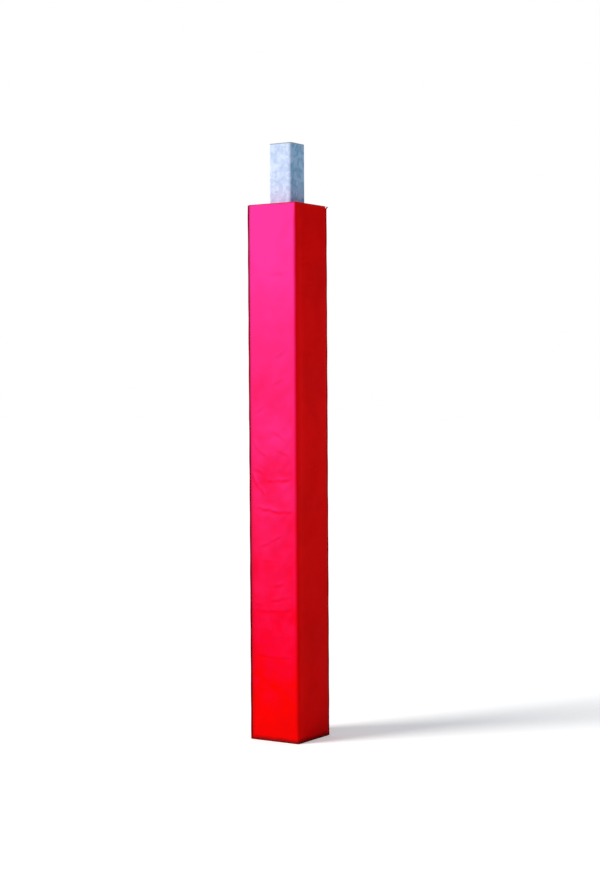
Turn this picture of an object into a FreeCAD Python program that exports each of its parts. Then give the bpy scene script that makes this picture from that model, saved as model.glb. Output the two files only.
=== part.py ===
import FreeCAD, Part
import math
import os
import Sketcher

# A square steel net post in a fold-around foam pad, in millimetres.
# +Z is up and the origin is the middle of the post's foot, on the floor.
# The pad is four mitred foam panels in a sewn cover. Seen from above and going
# round anticlockwise they are front (-Y), right (+X), back (+Y) and left (-X).
# Three corners are folds in the cover and the fourth, between back and left,
# opens and closes with hook and loop strips.

DRIVING = [
    # The post
    ("post_width", 90),          # outside of the square tube
    ("post_wall", 5),            # thickness of the tube's wall
    ("post_corner", 10),         # outer corner radius of the tube
    ("post_length", 2040),       # floor to the top of the plug
    # The plug in the post's upper end
    ("plug_flange", 3),          # flange that lies on the tube's end
    ("plug_depth", 32),          # how far the plug reaches down the tube
    ("plug_skin", 2.5),          # wall of the plug's hollow shank
    ("plug_fit", 0.25),          # gap between a rib and the tube's wall
    ("rib_height", 1.5),         # thickness of one gripping rib
    ("rib_reach", 2),            # how far a rib stands out of the shank
    ("rib_pitch", 7),            # distance from one rib to the next
    # The pad
    ("pad_height", 1830),        # a six foot pad
    ("pad_fit", 0.5),            # gap between the post and the pad's lining
    ("foam_thick", 49),          # foam between the lining and the cover
    ("cover_thick", 0.9),        # coated cover sheet
    ("lining_thick", 0.6),       # thin sheet on the post's side
    ("end_thick", 0.9),          # sheets that close a panel's top and foot
    ("fold_radius", 5),          # outside radius of a folded corner
    ("fold_gap", 0.3),           # gap between two mitre faces, and inside a folded corner
    # The closing corner
    ("strip_thick", 1.2),        # hook or loop strip with its backing
    ("strip_width", 38),
    ("strip_margin", 25),        # from a strip's end to the pad's end
    ("closing_gap", 0.3),        # gap between the hooks and the loops
    ("tab_width", 25),           # webbing of a pull tab
    ("tab_thick", 2.4),          # two layers of webbing
    ("tab_reach", 42),           # from the closing edge to the tab's end
    ("tab_count", 3),
    ("tab_margin", 300),         # from the floor to the lowest tab's middle
]

# Sizes that follow from the ones above. An inset is measured along a panel's
# face, from the diagonal through the pad's corner to the panel's own mitre.
DERIVED = [
    ("post_half", "post_width / 2"),
    ("bore_half", "post_half - post_wall"),
    ("bore_corner", "post_corner - post_wall"),
    ("inner", "post_half + pad_fit"),
    ("foam_inner", "inner + lining_thick"),
    ("foam_outer", "foam_inner + foam_thick"),
    ("outer", "foam_outer + cover_thick"),
    ("fold_inset", "fold_gap / sqrt(2)"),
    ("close_inset", "(strip_thick + closing_gap / 2) * sqrt(2)"),
    ("lining_step", "lining_thick * sqrt(2)"),
    ("bevel_start", "outer - fold_radius - fold_gap"),
    ("bevel_end", "outer - fold_radius + (fold_radius - cover_thick - fold_gap) / sqrt(2)"),
    ("mitre_middle", "(inner + foam_outer) / 2"),
    ("strip_run", "strip_width / (2 * sqrt(2))"),
    ("strip_rise", "strip_thick / sqrt(2)"),
    ("panel_low", "end_thick"),
    ("panel_tall", "pad_height - 2 * end_thick"),
    ("tab_pitch", "(pad_height - 2 * tab_margin) / (tab_count - 1)"),
]

# Turn of each panel about the post, from the front panel's place.
TURN = {"front": 0, "right": 90, "back": 180, "left": 270}

# What each panel has at the ends of its outline, seen from outside:
# a fold in the cover, or the closing edge.
ENDS = {
    "front": ("fold", "fold"),
    "right": ("fold", "fold"),
    "back": ("fold", "close"),
    "left": ("close", "fold"),
}

doc = FreeCAD.newDocument("net_post")
dims = doc.addObject("Spreadsheet::Sheet", "dims")
for row, (name, size) in enumerate(DRIVING, start=1):
    dims.set(f"A{row}", name)
    dims.set(f"B{row}", str(size))
    dims.setAlias(f"B{row}", name)
for row, (name, formula) in enumerate(DERIVED, start=len(DRIVING) + 1):
    dims.set(f"A{row}", name)
    dims.set(f"B{row}", "=" + formula)
    dims.setAlias(f"B{row}", name)
doc.recompute()

SIZES = [name for name, _ in DRIVING + DERIVED]
nodes = []


def bound(formula):
    """The formula with each size's name pointing at the sheet."""
    words = formula.replace("(", " ( ").replace(")", " ) ").split()
    return " ".join("dims." + word if word in SIZES else word for word in words)


def value(formula):
    return float(dims.evalExpression(formula))


def new_body(label, turn=0):
    body = doc.addObject("PartDesign::Body", label)
    body.Label = label
    body.Placement = FreeCAD.Placement(
        FreeCAD.Vector(0, 0, 0), FreeCAD.Rotation(FreeCAD.Vector(0, 0, 1), turn)
    )
    nodes.append(body)
    return body


def new_sketch(body, name, offset="0", role="XY_Plane"):
    """A sketch on one of the body's own planes, moved along that plane's normal."""
    plane = next(f for f in body.Origin.OriginFeatures if f.Role == role)
    sketch = body.newObject("Sketcher::SketchObject", name)
    sketch.AttachmentSupport = [(plane, "")]
    sketch.MapMode = "FlatFace"
    sketch.setExpression("AttachmentOffset.Base.z", bound(offset))
    return sketch


def hold(sketch, kind, geometry, point, formula):
    """Ties one coordinate of a sketch point to a formula."""
    index = sketch.addConstraint(Sketcher.Constraint(kind, -1, 1, geometry, point, value(formula)))
    sketch.setExpression(f"Constraints[{index}]", bound(formula))


def draw_outline(sketch, corners):
    """A closed outline through corners, each a pair of formulas."""
    first = sketch.GeometryCount
    places = [FreeCAD.Vector(value(across), value(along), 0) for across, along in corners]
    count = len(corners)
    for step in range(count):
        sketch.addGeometry(Part.LineSegment(places[step], places[(step + 1) % count]), False)
    for step, (across, along) in enumerate(corners):
        following = first + (step + 1) % count
        sketch.addConstraint(Sketcher.Constraint("Coincident", first + step, 2, following, 1))
        hold(sketch, "DistanceX", first + step, 1, across)
        hold(sketch, "DistanceY", first + step, 1, along)


def square_of(half):
    return [(f"-({half})", f"-({half})"), (half, f"-({half})"), (half, half), (f"-({half})", half)]


def clipped_square(half, clip):
    """A square whose corners are cut off by clip along each side."""
    short = f"{half} - {clip}"
    return [
        (f"-({short})", f"-({half})"), (short, f"-({half})"),
        (half, f"-({short})"), (half, short),
        (short, half), (f"-({short})", half),
        (f"-({half})", short), (f"-({half})", f"-({short})"),
    ]


def extrude(body, sketch, name, length, kind="PartDesign::Pad", reverse=False):
    feature = body.newObject(kind, name)
    feature.Profile = sketch
    feature.Reversed = reverse
    feature.setExpression("Length", bound(length))
    doc.recompute()
    return feature


def round_uprights(body, feature, name, half, radius):
    """Rounds the four upright edges at a square's corners."""
    reach = value(half)
    found = []
    for number, edge in enumerate(feature.Shape.Edges, start=1):
        ends = [vertex.Point for vertex in edge.Vertexes]
        upright = len(ends) == 2 and abs(ends[0].z - ends[1].z) > 0.5 * edge.Length
        if upright and all(abs(abs(c) - reach) < 1e-6 for c in (ends[0].x, ends[0].y)):
            found.append(f"Edge{number}")
    rounded = body.newObject("PartDesign::Fillet", name)
    rounded.Base = (feature, found)
    rounded.setExpression("Radius", bound(radius))
    doc.recompute()
    return rounded


# The post

def make_post_tube():
    body = new_body("post_tube")
    outside = new_sketch(body, "tube_outside")
    draw_outline(outside, square_of("post_half"))
    bar = extrude(body, outside, "tube_bar", "post_length - plug_flange")
    round_uprights(body, bar, "tube_corners", "post_half", "post_corner")
    inside = new_sketch(body, "tube_inside")
    draw_outline(inside, square_of("bore_half"))
    bore = extrude(
        body, inside, "tube_bore", "post_length - plug_flange", "PartDesign::Pocket", reverse=True
    )
    round_uprights(body, bore, "bore_corners", "bore_half", "bore_corner")


def make_top_plug():
    """A ribbed plug: a flange on the tube's end and a hollow shank down its bore."""
    body = new_body("top_plug")
    seat = "post_length - plug_flange"
    foot = seat + " - plug_depth"
    rib_half = "bore_half - plug_fit"
    shank_half = rib_half + " - rib_reach"
    hollow_half = shank_half + " - plug_skin"

    flange_outline = new_sketch(body, "flange_outline", seat)
    draw_outline(flange_outline, square_of("post_half"))
    flange = extrude(body, flange_outline, "flange", "plug_flange")
    round_uprights(body, flange, "flange_corners", "post_half", "post_corner")

    shank_outline = new_sketch(body, "shank_outline", foot)
    draw_outline(shank_outline, square_of(shank_half))
    extrude(body, shank_outline, "shank", "plug_depth")

    # Each rib is a ring round the shank, with its corners cut to clear the bore's.
    rib_count = int((value("plug_depth") - value("rib_height")) // value("rib_pitch"))
    for step in range(rib_count):
        rib_outline = new_sketch(body, f"rib_outline_{step}", f"{foot} + {step} * rib_pitch")
        draw_outline(rib_outline, clipped_square(rib_half, "bore_corner"))
        extrude(body, rib_outline, f"rib_{step}", "rib_height")

    hollow_outline = new_sketch(body, "hollow_outline", foot)
    draw_outline(hollow_outline, square_of(hollow_half))
    extrude(body, hollow_outline, "shank_hollow", "plug_depth", "PartDesign::Pocket", reverse=True)


# The pad's panels. Each is drawn as the front panel, whose outside faces -Y,
# and turned to its own side.

INSET = {"fold": "fold_inset", "close": "close_inset"}


def mirrored(corners):
    return [(f"-({across})", along) for across, along in reversed(corners)]


def half_outline(end, margin, depth_in, depth_out):
    """The right half of a panel's section, from its post side to its outside."""
    slope = f"{INSET[end]} + {margin}"
    corners = [(f"{depth_in} - ({slope})", f"-({depth_in})")]
    if end == "fold":
        corners.append((f"bevel_end - ({slope})", "-(bevel_end)"))
        corners.append(("bevel_start", f"-({depth_out})"))
    else:
        corners.append((f"{depth_out} - ({slope})", f"-({depth_out})"))
    return corners


def panel_outline(side, margin, depth_in, depth_out):
    left_end, right_end = ENDS[side]
    right_half = half_outline(right_end, margin, depth_in, depth_out)
    left_half = mirrored(half_outline(left_end, margin, depth_in, depth_out))
    return left_half + right_half


def make_slab(label, side, corners, low, tall):
    body = new_body(label, TURN[side])
    sketch = new_sketch(body, label + "_outline", low)
    draw_outline(sketch, corners)
    extrude(body, sketch, label + "_slab", tall)


def make_lining(side):
    """A channel of thin sheet: down one mitre face, along the post and up the other."""
    left_end, right_end = ENDS[side]
    corners = []
    for end, flip in ((left_end, True), (right_end, False)):
        skin = half_outline(end, "0", "inner", "foam_outer")[:2]
        core = half_outline(end, "lining_step", "foam_inner", "foam_outer")[:2]
        half = [skin, core]
        corners.append([mirrored(line) for line in half] if flip else half)
    (left_skin, left_core), (right_skin, right_core) = corners
    outline = left_skin + right_skin + right_core[::-1] + left_core[::-1]
    make_slab(f"lining_{side}", side, outline, "panel_low", "panel_tall")


def make_panel(side):
    left_end, right_end = ENDS[side]
    edge = {"fold": "outer - fold_radius", "close": "outer - close_inset"}
    core = panel_outline(side, "lining_step", "foam_inner", "foam_outer")
    make_slab(f"foam_{side}", side, core, "panel_low", "panel_tall")
    make_lining(side)

    root = {"fold": "outer - fold_radius", "close": "foam_outer - close_inset"}
    cover = [
        (f"-({edge[left_end]})", "-(outer)"), (edge[right_end], "-(outer)"),
        (root[right_end], "-(foam_outer)"), (f"-({root[left_end]})", "-(foam_outer)"),
    ]
    make_slab(f"cover_{side}", side, cover, "0", "pad_height")

    closure = panel_outline(side, "0", "inner", "foam_outer")
    make_slab(f"foot_end_{side}", side, closure, "0", "end_thick")
    make_slab(f"top_end_{side}", side, closure, "pad_height - end_thick", "end_thick")


def make_fold(label, side):
    """The quarter round of cover sheet that joins a panel to the next one round."""
    body = new_body(label, TURN[side])
    sketch = new_sketch(body, label + "_outline")
    middle = "outer - fold_radius"
    centre = FreeCAD.Vector(value(middle), -value(middle), 0)
    radii = ["fold_radius", "fold_radius - cover_thick"]
    for number, radius in enumerate(radii):
        circle = Part.Circle(centre, FreeCAD.Vector(0, 0, 1), value(radius))
        sketch.addGeometry(Part.ArcOfCircle(circle, -math.pi / 2, 0), False)
        hold(sketch, "DistanceX", number, 3, middle)
        hold(sketch, "DistanceY", number, 3, f"-({middle})")
        index = sketch.addConstraint(Sketcher.Constraint("Radius", number, value(radius)))
        sketch.setExpression(f"Constraints[{index}]", bound(radius))
        sketch.addConstraint(Sketcher.Constraint("Vertical", number, 1, number, 3))
        sketch.addConstraint(Sketcher.Constraint("Horizontal", number, 2, number, 3))
    for number, point in ((2, 1), (3, 2)):
        ends = [sketch.getPoint(arc, point) for arc in (0, 1)]
        sketch.addGeometry(Part.LineSegment(*ends), False)
        sketch.addConstraint(Sketcher.Constraint("Coincident", 0, point, number, 1))
        sketch.addConstraint(Sketcher.Constraint("Coincident", 1, point, number, 2))
    extrude(body, sketch, label + "_strip", "pad_height")


def make_strip(label, side, mirror):
    """A hook or loop strip, flat on a closing mitre face."""
    across = "mitre_middle - close_inset"
    corners = [
        (f"{across} - strip_run", "-(mitre_middle - strip_run)"),
        (f"{across} + strip_run", "-(mitre_middle + strip_run)"),
        (f"{across} + strip_run + strip_rise", "-(mitre_middle + strip_run - strip_rise)"),
        (f"{across} - strip_run + strip_rise", "-(mitre_middle - strip_run - strip_rise)"),
    ]
    if mirror:
        corners = mirrored(corners)
    make_slab(label, side, corners, "strip_margin", "pad_height - 2 * strip_margin")


def make_pull_tabs():
    """Webbing tabs on the left panel's closing edge, lying flat on its cover."""
    body = new_body("pull_tabs", TURN["left"])
    sketch = new_sketch(body, "tab_outline", "outer", role="XZ_Plane")
    start = "-(outer - close_inset)"
    for step in range(int(value("tab_count"))):
        low = f"tab_margin - tab_width / 2 + {step} * tab_pitch"
        high = f"{low} + tab_width"
        draw_outline(
            sketch,
            [(start, low), (f"{start} + tab_reach", low), (f"{start} + tab_reach", high), (start, high)],
        )
    extrude(body, sketch, "tab_webbing", "tab_thick")


make_post_tube()
make_top_plug()
for panel_side in TURN:
    make_panel(panel_side)
make_fold("fold_near", "front")
make_fold("fold_right", "right")
make_fold("fold_left", "left")
make_strip("loop_strip", "back", mirror=False)
make_strip("hook_strip", "left", mirror=True)
make_pull_tabs()
doc.recompute()

# Every object is sound before anything is written.
for item in doc.Objects:
    if "Invalid" in item.State or "Error" in item.State:
        raise RuntimeError(f"{item.Label} failed: {item.State}")
for node in nodes:
    if node.Shape.isNull() or not node.Shape.isValid() or not node.Shape.Solids:
        raise RuntimeError(f"{node.Label} has no sound solid")

os.makedirs("parts", exist_ok=True)
for node in nodes:
    node.Shape.exportStep(f"parts/{node.Label}.step")
    box = node.Shape.BoundBox
    print(
        f"{node.Label}: {len(node.Shape.Solids)} solids, {node.Shape.Volume / 1000:.2f} cm3,",
        f"x {box.XMin:.2f}..{box.XMax:.2f}, y {box.YMin:.2f}..{box.YMax:.2f},",
        f"z {box.ZMin:.1f}..{box.ZMax:.1f}",
    )
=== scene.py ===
import math
import random

import bmesh
import bpy
import numpy as np
from mathutils import Matrix, Vector, noise


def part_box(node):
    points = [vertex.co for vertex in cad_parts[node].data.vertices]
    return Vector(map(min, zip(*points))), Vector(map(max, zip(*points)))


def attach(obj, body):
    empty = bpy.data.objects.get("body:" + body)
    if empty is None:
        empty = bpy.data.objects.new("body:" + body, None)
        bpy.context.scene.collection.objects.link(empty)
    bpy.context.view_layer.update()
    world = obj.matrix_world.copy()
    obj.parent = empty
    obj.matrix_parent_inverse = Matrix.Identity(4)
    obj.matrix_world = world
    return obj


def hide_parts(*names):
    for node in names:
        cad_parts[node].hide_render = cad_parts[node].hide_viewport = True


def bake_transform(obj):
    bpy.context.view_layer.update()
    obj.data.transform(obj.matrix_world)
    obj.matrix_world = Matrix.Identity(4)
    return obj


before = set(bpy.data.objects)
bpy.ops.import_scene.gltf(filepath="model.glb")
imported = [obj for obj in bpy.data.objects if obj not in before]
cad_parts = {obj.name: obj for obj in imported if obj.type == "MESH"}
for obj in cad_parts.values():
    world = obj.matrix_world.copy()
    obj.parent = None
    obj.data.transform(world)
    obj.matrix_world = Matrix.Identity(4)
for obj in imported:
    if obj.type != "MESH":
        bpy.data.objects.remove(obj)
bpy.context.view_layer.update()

mm = 0.001
scene = bpy.context.scene
scene.view_settings.view_transform = "Standard"

# Sizes of the padded post, read from the frame
coverLow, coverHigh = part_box("cover_front")
liningLow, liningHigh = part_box("lining_front")
closeLow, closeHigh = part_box("lining_back")
half = -coverLow.y                                       # post axis to the cover's outside
sheetThick = half + coverHigh.y
liningHalf = -liningHigh.y                               # post axis to the lining
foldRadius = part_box("fold_near")[1].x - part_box("fold_near")[0].x
padTop = coverHigh.z
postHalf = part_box("post_tube")[1].x
liningThick = liningHigh.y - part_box("foam_front")[1].y
flapEnd = {"fold": -liningLow.y, "close": closeHigh.y}
flapStep = {                                             # a mitre face's set-back from the diagonal
    "fold": flapEnd["fold"] - liningHigh.x,
    "close": flapEnd["close"] + closeLow.x,
}
flatRun = 2 * (half - foldRadius)                        # flat stretch between two folds
tabLow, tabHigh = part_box("pull_tabs")
tabEdges = sorted({round(vertex.co.z, 5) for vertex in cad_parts["pull_tabs"].data.vertices})
tabLevels = list(zip(tabEdges[0::2], tabEdges[1::2]))    # foot and top of each tab

panels = {                                               # turn of each panel, and what ends it
    "front": (0, "fold", "fold"),
    "right": (90, "fold", "fold"),
    "back": (180, "fold", "close"),
    "left": (270, "close", "fold"),
}


# Materials

def feed(tree, socket, value):
    # links an output to a socket, or sets a number or a colour on it
    if isinstance(value, bpy.types.NodeSocket):
        tree.links.new(value, socket)
    elif socket.type == "RGBA":
        socket.default_value = (*value, 1)
    else:
        socket.default_value = value


def feedAll(tree, node, values):
    for socket, value in zip(node.inputs, values):
        feed(tree, socket, value)
    return node.outputs[0]


def addNode(tree, kind, **values):
    node = tree.nodes.new(kind)
    for key, value in values.items():
        if hasattr(node, key):
            setattr(node, key, value)
        else:
            feed(tree, node.inputs[key], value)
    return node


def objectPlace(tree):
    return addNode(tree, "ShaderNodeTexCoord").outputs["Object"]


def addNoise(tree, scale, detail, roughness=0.5, output="Fac"):
    noiseNode = addNode(tree, "ShaderNodeTexNoise", Scale=scale, Detail=detail, Roughness=roughness)
    feed(tree, noiseNode.inputs["Vector"], objectPlace(tree))
    return noiseNode.outputs[output]


def mixColours(tree, factor, first, second):
    mix = addNode(tree, "ShaderNodeMix", data_type="RGBA")
    for index, value in ((0, factor), (6, first), (7, second)):
        feed(tree, mix.inputs[index], value)
    return mix.outputs[2]


def addMath(tree, operation, *values):
    return feedAll(tree, addNode(tree, "ShaderNodeMath", operation=operation), values)


def addRange(tree, *values):
    # a soft step: the value, from low, from high, to low, to high
    return feedAll(tree, addNode(tree, "ShaderNodeMapRange", interpolation_type="SMOOTHSTEP"), values)


def addBump(tree, height, distance, **below):
    bump = addNode(tree, "ShaderNodeBump", Strength=1, Distance=distance, Height=height, **below)
    return bump.outputs["Normal"]


def weaveHeight(tree, pitch):
    # over-and-under of two threads, on the sheet's own lengths
    place = addNode(tree, "ShaderNodeUVMap", uv_map="cloth").outputs[0]
    split = addNode(tree, "ShaderNodeSeparateXYZ", Vector=place)
    waves = []
    for axis in (0, 1):
        turns = addMath(tree, "MULTIPLY", split.outputs[axis], math.pi / pitch)
        waves.append(addMath(tree, "SINE", turns))
    return addMath(tree, "MULTIPLY", *waves)


def newMaterial(name):
    material = bpy.data.materials.new(name)
    material.use_nodes = True
    return material, material.node_tree


def finishShader(tree, colour, roughness, normal, specular=0.5):
    shader = tree.nodes["Principled BSDF"]
    sockets = ("Base Color", "Roughness", "Normal", "Specular IOR Level")
    for name, value in zip(sockets, (colour, roughness, normal, specular)):
        feed(tree, shader.inputs[name], value)


coverFinish = {
    "red": (0.86, 0.0008, 0.001),
    "sheenBegun": (0.87, 0.0012, 0.028),       # where the painted sky sheen has only begun
    "sheenBegunAt": 0.09,
    # the pink of the painted sky reflection, at its strongest
    "sheened": (0.93, 0.037, 0.32),
    # a brighter red for rubbed edges and for painted light on the shaded faces
    "wornAndLit": (1.0, 0.003, 0.004),
    "shadeAndSoil": (0.02, 0.003, 0.003),
    "soilAndShadeTop": 0.018,          # how far up the dark band at the foot reaches: painted contact shadow and thick dirt
    "dustTop": 0.09,           # and its thin dirt
    "ragged": 0.014,           # how unevenly the dark band's edge runs
    "stain": 0.09,             # broad faint stains, strongest on the shaded sides
    "uneven": 0.035,           # how much the painted sky sheen differs from patch to patch
    "patches": 14.0,           # to the metre, as the next three
    "splashes": 60.0,
    "clouds": 7.0,
    "dents": 55.0,
    "roughness": (0.45, 0.57),
    "specular": 0.012,
    "weavePitch": 0.7 * mm,
    "weaveDepth": 0.012 * mm,
    "dentDepth": 0.5 * mm,
}


def makeCoverMaterial():
    material, tree = newMaterial("coatedFabric")
    plan = coverFinish
    skySheen, wearAndLight, bindingDarkening = (
        addNode(tree, "ShaderNodeAttribute", attribute_name=name).outputs["Fac"]
        for name in ("skySheen", "wearAndLight", "bindingDarkening")
    )
    patch = addNoise(tree, plan["patches"], 3.0)
    spread = addRange(tree, patch, 0.3, 0.7, -plan["uneven"], plan["uneven"])
    # painted sky reflection: the red turns pink where the sky sheen is strong, unevenly from patch to
    # patch
    sheened = addMath(tree, "ADD", skySheen, spread)
    sheened = addMath(tree, "MULTIPLY", sheened, addRange(tree, skySheen, 0, 0.05))
    ramp = addNode(tree, "ShaderNodeValToRGB")
    feed(tree, ramp.inputs[0], sheened)
    first, last = ramp.color_ramp.elements
    first.color, last.color = (*plan["red"], 1), (*plan["sheened"], 1)
    ramp.color_ramp.elements.new(plan["sheenBegunAt"]).color = (*plan["sheenBegun"], 1)
    # worn red, and painted light on the shaded faces
    colour = mixColours(tree, wearAndLight, ramp.outputs[0], plan["wornAndLit"])

    # darker round the foot: painted contact shadow with dirt splashed up, uneven along the edge
    height = addNode(tree, "ShaderNodeSeparateXYZ", Vector=objectPlace(tree)).outputs["Z"]
    splash = addNoise(tree, plan["splashes"], 4.0, 0.6)
    reach = addMath(tree, "MULTIPLY_ADD", splash, -plan["ragged"], height)
    darkened = addRange(tree, reach, -0.012, plan["soilAndShadeTop"], 0.98, 0)
    dust = addRange(tree, reach, 0, plan["dustTop"], 0.1, 0)
    bindingDarkening = addMath(tree, "MULTIPLY", bindingDarkening, addRange(tree, splash, 0.2, 0.6, 0.85, 1))
    cloud = addNoise(tree, plan["clouds"], 4.0, 0.55)
    stain = addRange(tree, cloud, 0.38, 0.66, 0, plan["stain"])
    stain = addMath(tree, "MULTIPLY", stain, addRange(tree, skySheen, 0, 0.06, 1, 0.1))
    for layer in (dust, bindingDarkening, stain):
        darkened = addMath(tree, "MAXIMUM", darkened, layer)
    colour = mixColours(tree, darkened, colour, plan["shadeAndSoil"])

    rough = addRange(tree, patch, 0.3, 0.7, *plan["roughness"])
    weave = addBump(tree, weaveHeight(tree, plan["weavePitch"]), plan["weaveDepth"])
    normal = addBump(tree, addNoise(tree, plan["dents"], 3.0), plan["dentDepth"], Normal=weave)
    finishShader(tree, colour, rough, normal, plan["specular"])
    return material


liningFinish = {
    "dark": (0.035, 0.036, 0.04),
    "pale": (0.085, 0.087, 0.095),
    "clouds": 9.0,
    "pitch": 1.1 * mm,
    "depth": 0.06 * mm,
    "roughness": 0.62,
}


def makeLiningMaterial():
    material, tree = newMaterial("liningCloth")
    weave = weaveHeight(tree, liningFinish["pitch"])
    shade = addMath(tree, "MULTIPLY_ADD", weave, 0.25, addNoise(tree, liningFinish["clouds"], 4.0, 0.6))
    shade = addRange(tree, shade, 0.15, 0.85)
    colour = mixColours(tree, shade, liningFinish["dark"], liningFinish["pale"])
    finishShader(tree, colour, liningFinish["roughness"], addBump(tree, weave, liningFinish["depth"]))
    return material


foamFinish = {
    "light": (0.83, 0.79, 0.68),
    "dark": (0.66, 0.61, 0.5),
    "cells": 650.0,
    "depth": 0.4 * mm,
    "roughness": 0.85,
}


def makeFoamMaterial():
    material, tree = newMaterial("closedCellFoam")
    voronoi = addNode(tree, "ShaderNodeTexVoronoi", Vector=objectPlace(tree), Scale=foamFinish["cells"])
    cells = voronoi.outputs["Distance"]
    shade = addRange(tree, cells, 0.1, 0.7)
    colour = mixColours(tree, shade, foamFinish["dark"], foamFinish["light"])
    finishShader(tree, colour, foamFinish["roughness"], addBump(tree, cells, foamFinish["depth"]))
    return material


steelFinish = {
    "pale": (0.69, 0.78, 0.98),
    "deep": (0.48, 0.59, 0.82),
    "palePaintedShade": (0.42, 0.63, 0.88),     # painted shade: the darker copy for the side away from the sun
    "deepPaintedShade": (0.21, 0.43, 0.66),
    "spangle": 75.0,           # zinc crystals to the metre
    "warp": 40.0,
    "bend": 0.012,             # how far the warp shifts the crystals' edges
    "clouds": 32.0,
    "depth": 0.05 * mm,
    "roughness": (0.42, 0.62),
    "specular": 0.05,
}


def makeSteelMaterial():
    material, tree = newMaterial("galvanisedSteel")
    place = objectPlace(tree)
    warp = addNoise(tree, steelFinish["warp"], 2.0, output="Color")
    shift = addNode(tree, "ShaderNodeVectorMath", operation="MULTIPLY_ADD")
    bent = feedAll(tree, shift, (warp, [steelFinish["bend"]] * 3, place))
    crystals = addNode(tree, "ShaderNodeTexVoronoi", Vector=bent, Scale=steelFinish["spangle"])
    tone = addNode(tree, "ShaderNodeSeparateColor", Color=crystals.outputs["Color"])
    cloud = addNoise(tree, steelFinish["clouds"], 4.0, 0.6)
    mottle = addMath(tree, "MULTIPLY_ADD", tone.outputs[0], 0.35, cloud)
    factor = addRange(tree, mottle, 0.42, 0.95)
    sunlitTone = mixColours(tree, factor, steelFinish["deep"], steelFinish["pale"])
    paintedShadeTone = mixColours(tree, factor, steelFinish["deepPaintedShade"], steelFinish["palePaintedShade"])
    # painted shade: the side away from the sun takes the darker, bluer copy of the colours
    side = addNode(tree, "ShaderNodeSeparateXYZ", Vector=place).outputs["X"]
    shadeSideShare = addRange(tree, side, postHalf - 5 * mm, postHalf - 0.5 * mm)
    colour = mixColours(tree, shadeSideShare, sunlitTone, paintedShadeTone)
    rough = addRange(tree, tone.outputs[1], 0, 1, *steelFinish["roughness"])
    normal = addBump(tree, mottle, steelFinish["depth"])
    finishShader(tree, colour, rough, normal, steelFinish["specular"])
    return material


plugFinish = {
    "colour": (0.36, 0.4, 0.45),
    "grain": 900.0,
    "depth": 0.04 * mm,
    "roughness": 0.5,
    "specular": 0.25,
}


def makePlugMaterial():
    material, tree = newMaterial("plugPlastic")
    grain = addNoise(tree, plugFinish["grain"], 2.0)
    darker = tuple(0.8 * channel for channel in plugFinish["colour"])
    colour = mixColours(tree, grain, darker, plugFinish["colour"])
    normal = addBump(tree, grain, plugFinish["depth"])
    finishShader(tree, colour, plugFinish["roughness"], normal, plugFinish["specular"])
    return material


wovenFinishes = {              # dark and pale yarn, pitch, depth, roughness
    "loopPile": ((0.012, 0.012, 0.014), (0.05, 0.05, 0.055), 0.9 * mm, 0.3 * mm, 0.95),
    "hookPile": ((0.008, 0.008, 0.01), (0.07, 0.07, 0.075), 1.6 * mm, 0.5 * mm, 0.5),
    "webbing": ((0.015, 0.015, 0.017), (0.06, 0.06, 0.064), 1.5 * mm, 0.15 * mm, 0.75),
}


def makeWovenMaterial(name):
    dark, pale, pitch, depth, roughness = wovenFinishes[name]
    material, tree = newMaterial(name)
    weave = weaveHeight(tree, pitch)
    colour = mixColours(tree, addRange(tree, weave, -0.6, 0.6), dark, pale)
    finishShader(tree, colour, roughness, addBump(tree, weave, depth))
    return material


threadFinish = {
    "redThread": ((0.38, 0.003, 0.004), (0.6, 0.008, 0.01)),
    "greyThread": ((0.3, 0.3, 0.31), (0.5, 0.5, 0.51)),
    "plies": 2200.0,
    "depth": 0.1 * mm,
    "roughness": 0.6,
}


def makeThreadMaterial(name):
    material, tree = newMaterial(name)
    plies = addNoise(tree, threadFinish["plies"], 1.0)
    colour = mixColours(tree, plies, *threadFinish[name])
    finishShader(tree, colour, threadFinish["roughness"], addBump(tree, plies, threadFinish["depth"]))
    return material


coverRed = makeCoverMaterial()
liningCloth = makeLiningMaterial()
foamCells = makeFoamMaterial()
steel = makeSteelMaterial()
plugPlastic = makePlugMaterial()
loopPile, hookPile, webbing = (makeWovenMaterial(name) for name in wovenFinishes)
redThread, greyThread = (makeThreadMaterial(name) for name in ("redThread", "greyThread"))
print("materials made")


# Making and placing pieces

def newPiece(name, mesh, material):
    piece = bpy.data.objects.new(name, mesh)
    scene.collection.objects.link(piece)
    mesh.materials.append(material)
    mesh.shade_smooth()
    return piece


def meshFrom(bm, name):
    mesh = bpy.data.meshes.new(name)
    bm.to_mesh(mesh)
    bm.free()
    return mesh


def readPoints(mesh):
    flat = np.zeros(len(mesh.vertices) * 3)
    mesh.vertices.foreach_get("co", flat)
    return flat.reshape(-1, 3)


def writePoints(mesh, points):
    mesh.vertices.foreach_set("co", np.asarray(points, float).ravel())
    mesh.update()


def turnMesh(mesh, degrees):
    mesh.transform(Matrix.Rotation(math.radians(degrees), 4, "Z"))


def setAttribute(mesh, name, values):
    attribute = mesh.attributes.new(name, "FLOAT", "POINT")
    attribute.data.foreach_set("value", np.asarray(values, np.float32))


def addSolidify(piece, thickness):
    # the wall grows inwards from the faces
    solid = piece.modifiers.new("thickness", "SOLIDIFY")
    solid.thickness = thickness
    solid.offset = -1
    solid.use_even_offset = False


def spaced(start, end, cell):
    # evenly spaced, with an even number of cells
    count = 2 * max(1, round((end - start) / cell / 2))
    return list(np.linspace(start, end, count + 1))


def smooth(low, high, value):
    t = np.clip((value - low) / (high - low), 0, 1)
    return t * t * (3 - 2 * t)


def between(low, high, value, length):
    # 0 at both ends of a length, and 1 away from them
    return smooth(low, high, value) * smooth(low, high, length - value)


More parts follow.
